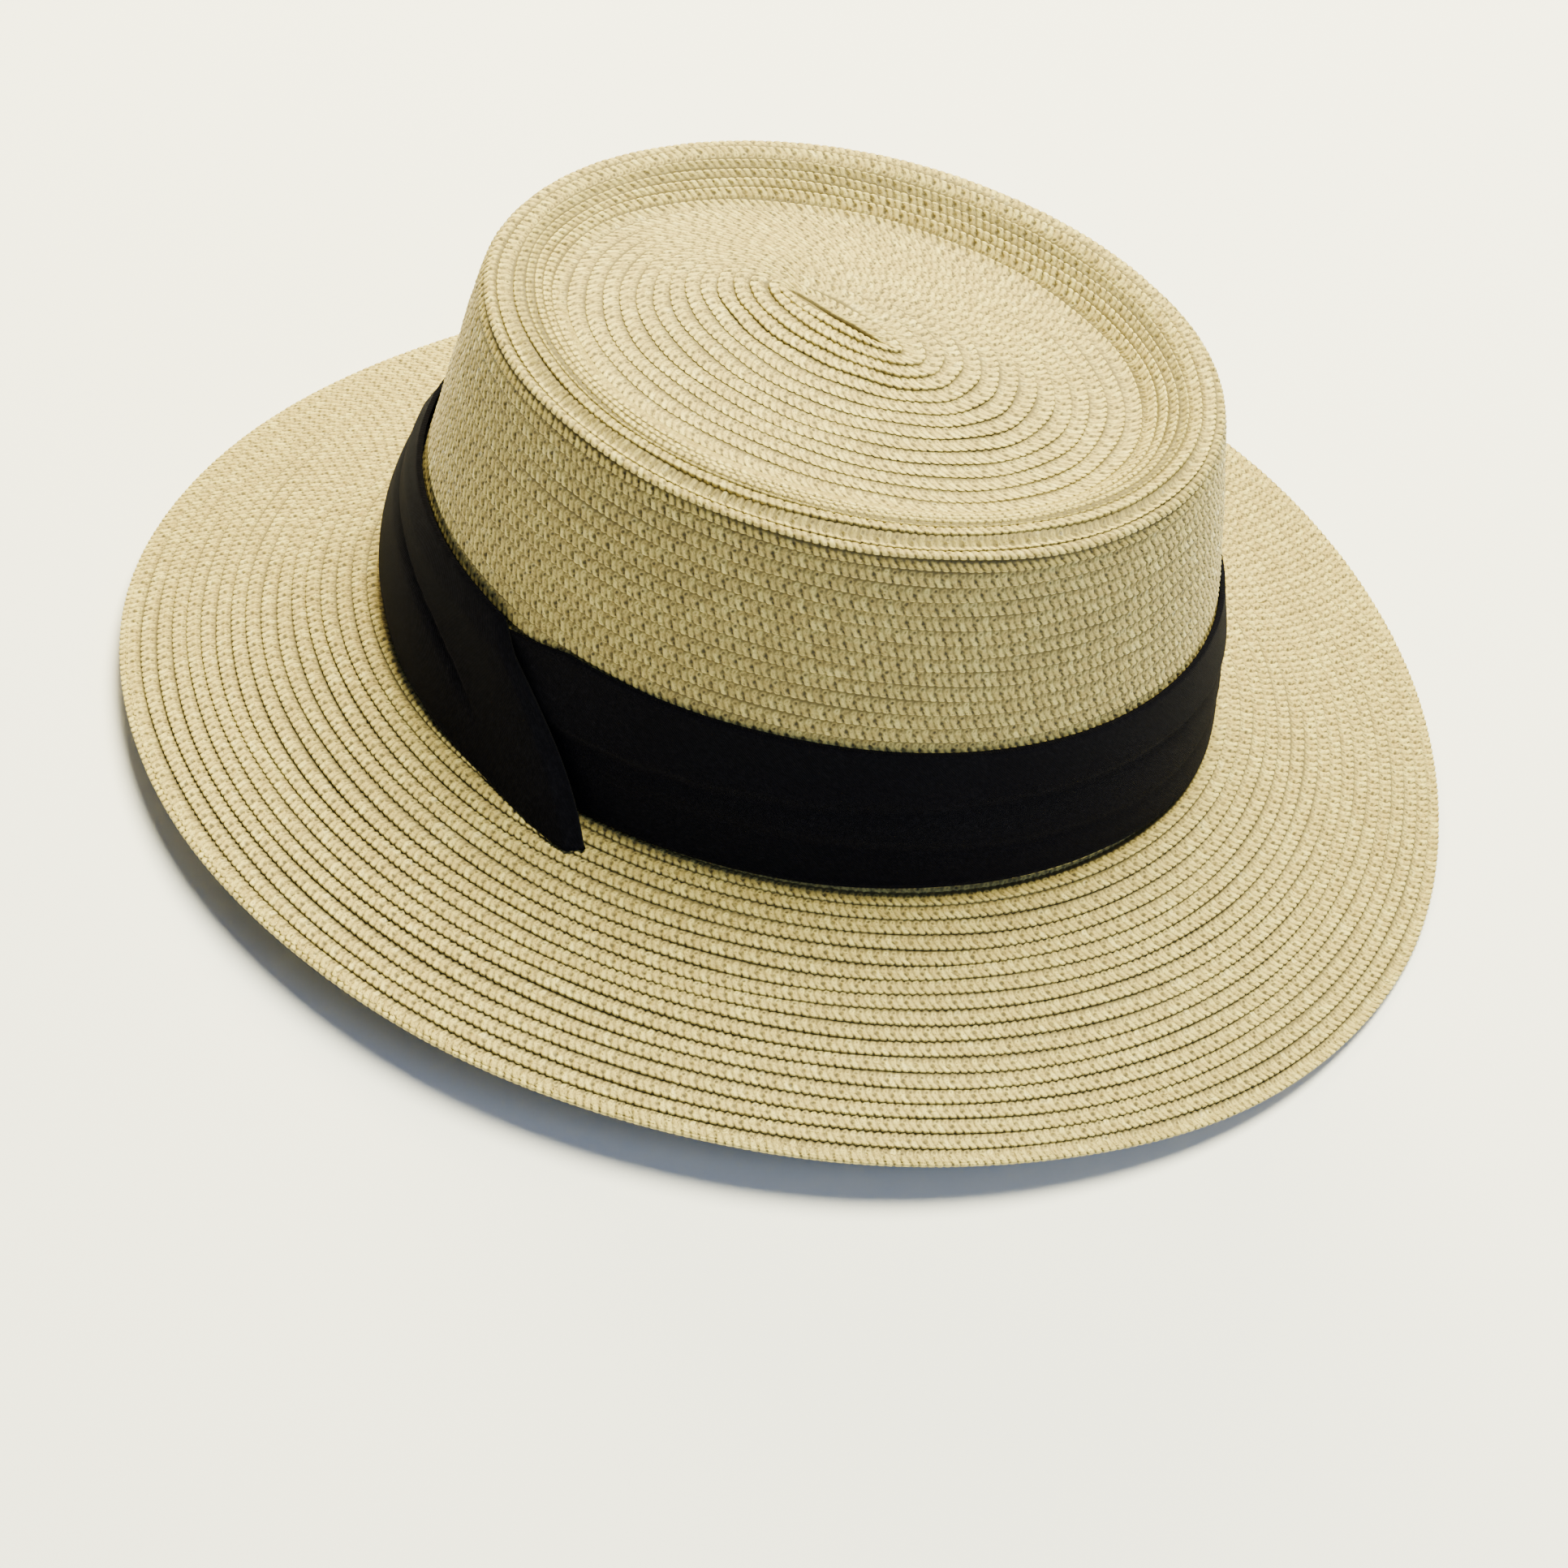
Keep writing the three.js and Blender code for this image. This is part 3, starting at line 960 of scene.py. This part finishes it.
def sewBand():
    longSteps, endSteps = bandForm["stepsAlong"]
    fineFrom, up = bandForm["fineFrom"], bandForm["stepsUp"]
    coarse, fine = np.linspace(0, fineFrom, longSteps), np.linspace(fineFrom, 1, endSteps + 1)[1:]
    shares = np.concatenate([coarse, fine])
    share, level = np.meshgrid(shares, np.linspace(0, 1, up + 1), indexing="ij")
    outside, angle = onBand(share, level, 1)
    inside, _ = onBand(share, level, 0)
    points = np.concatenate([outside.reshape(-1, 3), inside.reshape(-1, 3)])
    grid = np.arange(share.size).reshape(share.shape)
    under = grid + grid.size
    front = np.stack([grid[:-1, :-1], grid[1:, :-1], grid[1:, 1:], grid[:-1, 1:]], -1).reshape(-1, 4)
    back = np.stack([under[:-1, :-1], under[:-1, 1:], under[1:, 1:], under[1:, :-1]], -1).reshape(-1, 4)
    low = np.stack([grid[:-1, 0], under[:-1, 0], under[1:, 0], grid[1:, 0]], -1)
    high = np.stack([grid[:-1, -1], grid[1:, -1], under[1:, -1], under[:-1, -1]], -1)
    first = np.stack([grid[0, :-1], grid[0, 1:], under[0, 1:], under[0, :-1]], -1)
    last = np.stack([grid[-1, :-1], under[-1, :-1], under[-1, 1:], grid[-1, 1:]], -1)
    quads = np.concatenate([front, back, low, high, first, last])
    marks = {
        "clothAlong": np.tile((angle * (baseRadius + stretch / 2)).ravel(), 2),
        "clothUp": np.tile((level * bandForm["height"]).ravel(), 2),
    }
    return buildPiece("bandCloth", inFrame(points), quads, np.zeros((0, 3)), marks)


clothLook = {
    "thread": (0.0015, 0.0015, 0.003, 1),
    "lint": (0.006, 0.006, 0.010, 1),
    "lintScale": 900,
    "fadeScale": 30,
    "fade": (1.6, 0.4),    # how much the lint comes and goes, and its least share
    "twill": 0.6,          # from one slanting rib to the next
    "crossWeave": 0.35,
    "weaveBump": 0.4,
    "weaveDepth": 0.0001,
    "roughness": 0.9,
    "sheen": 0.01,
    "sheenRough": 0.5,
    "shine": 0.03,
}


def clothFinish():
    material, tree, shader = newFinish("bandTwill")
    along, up = readMark(tree, "clothAlong"), readMark(tree, "clothUp")
    turns = fullTurn / clothLook["twill"]
    slant = reckon("SINE", times(plus(along, up), turns))
    cross = reckon("SINE", times(minus(along, times(up, 3)), turns))
    weave = timesPlus(cross, clothLook["crossWeave"], slant)
    place = objectPlace(tree)
    lint = reckon("POWER", noise(place, clothLook["lintScale"], 3), 3)
    fade = timesPlus(noise(place, clothLook["fadeScale"], 2), *clothLook["fade"])
    bump = addNode(tree, "ShaderNodeBump", Height=weave,
                   Strength=clothLook["weaveBump"], Distance=clothLook["weaveDepth"])
    setInputs(shader, {
        "Base Color": blendColour(times(lint, fade), clothLook["thread"], clothLook["lint"]),
        "Roughness": clothLook["roughness"],
        "Normal": bump.outputs[0],
        "Sheen Weight": clothLook["sheen"],
        "Sheen Roughness": clothLook["sheenRough"],
        "Specular IOR Level": clothLook["shine"],
    })
    return material


band = sewBand()
band.data.materials.append(clothFinish())
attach(band, "root")
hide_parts("hatband")
stripLength = (360 + bandForm["endAngle"] - bandForm["startAngle"] + bandForm["endSlant"] / 2) / 360
stripLength *= fullTurn * (baseRadius + stretch / 2 - 2) * mm
print("band sewn")


# Plain pale floor and soft studio light, in metres. Each lamp has its place, width, power and colour.
studio = {
    "floorColour": (0.80, 0.825, 0.94, 1),
    "floorRoughness": 0.9,
    "floorReach": 6,
    "air": 0.18,
    "airColour": (0.54, 0.7, 1, 1),
    "aim": (0, 0, 0.05),
    "keyLight": ((0.44, -0.07, 1.5), 1.0, 140, (1, 0.93, 0.57)),
    "backLight": ((0.9, 0.55, 0.75), 0.5, 30, (1, 0.8, 0.36)),
    "fillLight": ((-0.6, -1.3, 0.8), 1.0, 10, (0.5, 0.7, 1)),
}


def layFloor():
    far = studio["floorReach"]
    mesh = bpy.data.meshes.new("studioFloor")
    mesh.from_pydata([(-far, -far, 0), (far, -far, 0), (far, far, 0), (-far, far, 0)], [], [(0, 1, 2, 3)])
    floor = bpy.data.objects.new("studioFloor", mesh)
    bpy.context.scene.collection.objects.link(floor)
    material, tree, shader = newFinish("paleFloor")
    setInputs(shader, {"Base Color": studio["floorColour"], "Roughness": studio["floorRoughness"]})
    mesh.materials.append(material)


def hangLight(name, spot, size, power, colour):
    data = bpy.data.lights.new(name, "AREA")
    data.shape, data.size, data.energy, data.color = "DISK", size, power, colour
    lamp = bpy.data.objects.new(name, data)
    bpy.context.scene.collection.objects.link(lamp)
    lamp.location = spot
    lamp.rotation_euler = (Vector(studio["aim"]) - Vector(spot)).to_track_quat("-Z", "Y").to_euler()


def lightStudio():
    world = bpy.data.worlds.new("studioAir")
    bpy.context.scene.world = world
    world.use_nodes = True
    air = {"Color": studio["airColour"], "Strength": studio["air"]}
    setInputs(world.node_tree.nodes["Background"], air)
    for name in ("keyLight", "backLight", "fillLight"):
        hangLight(name, *studio[name])


layFloor()
lightStudio()
print("hat done")
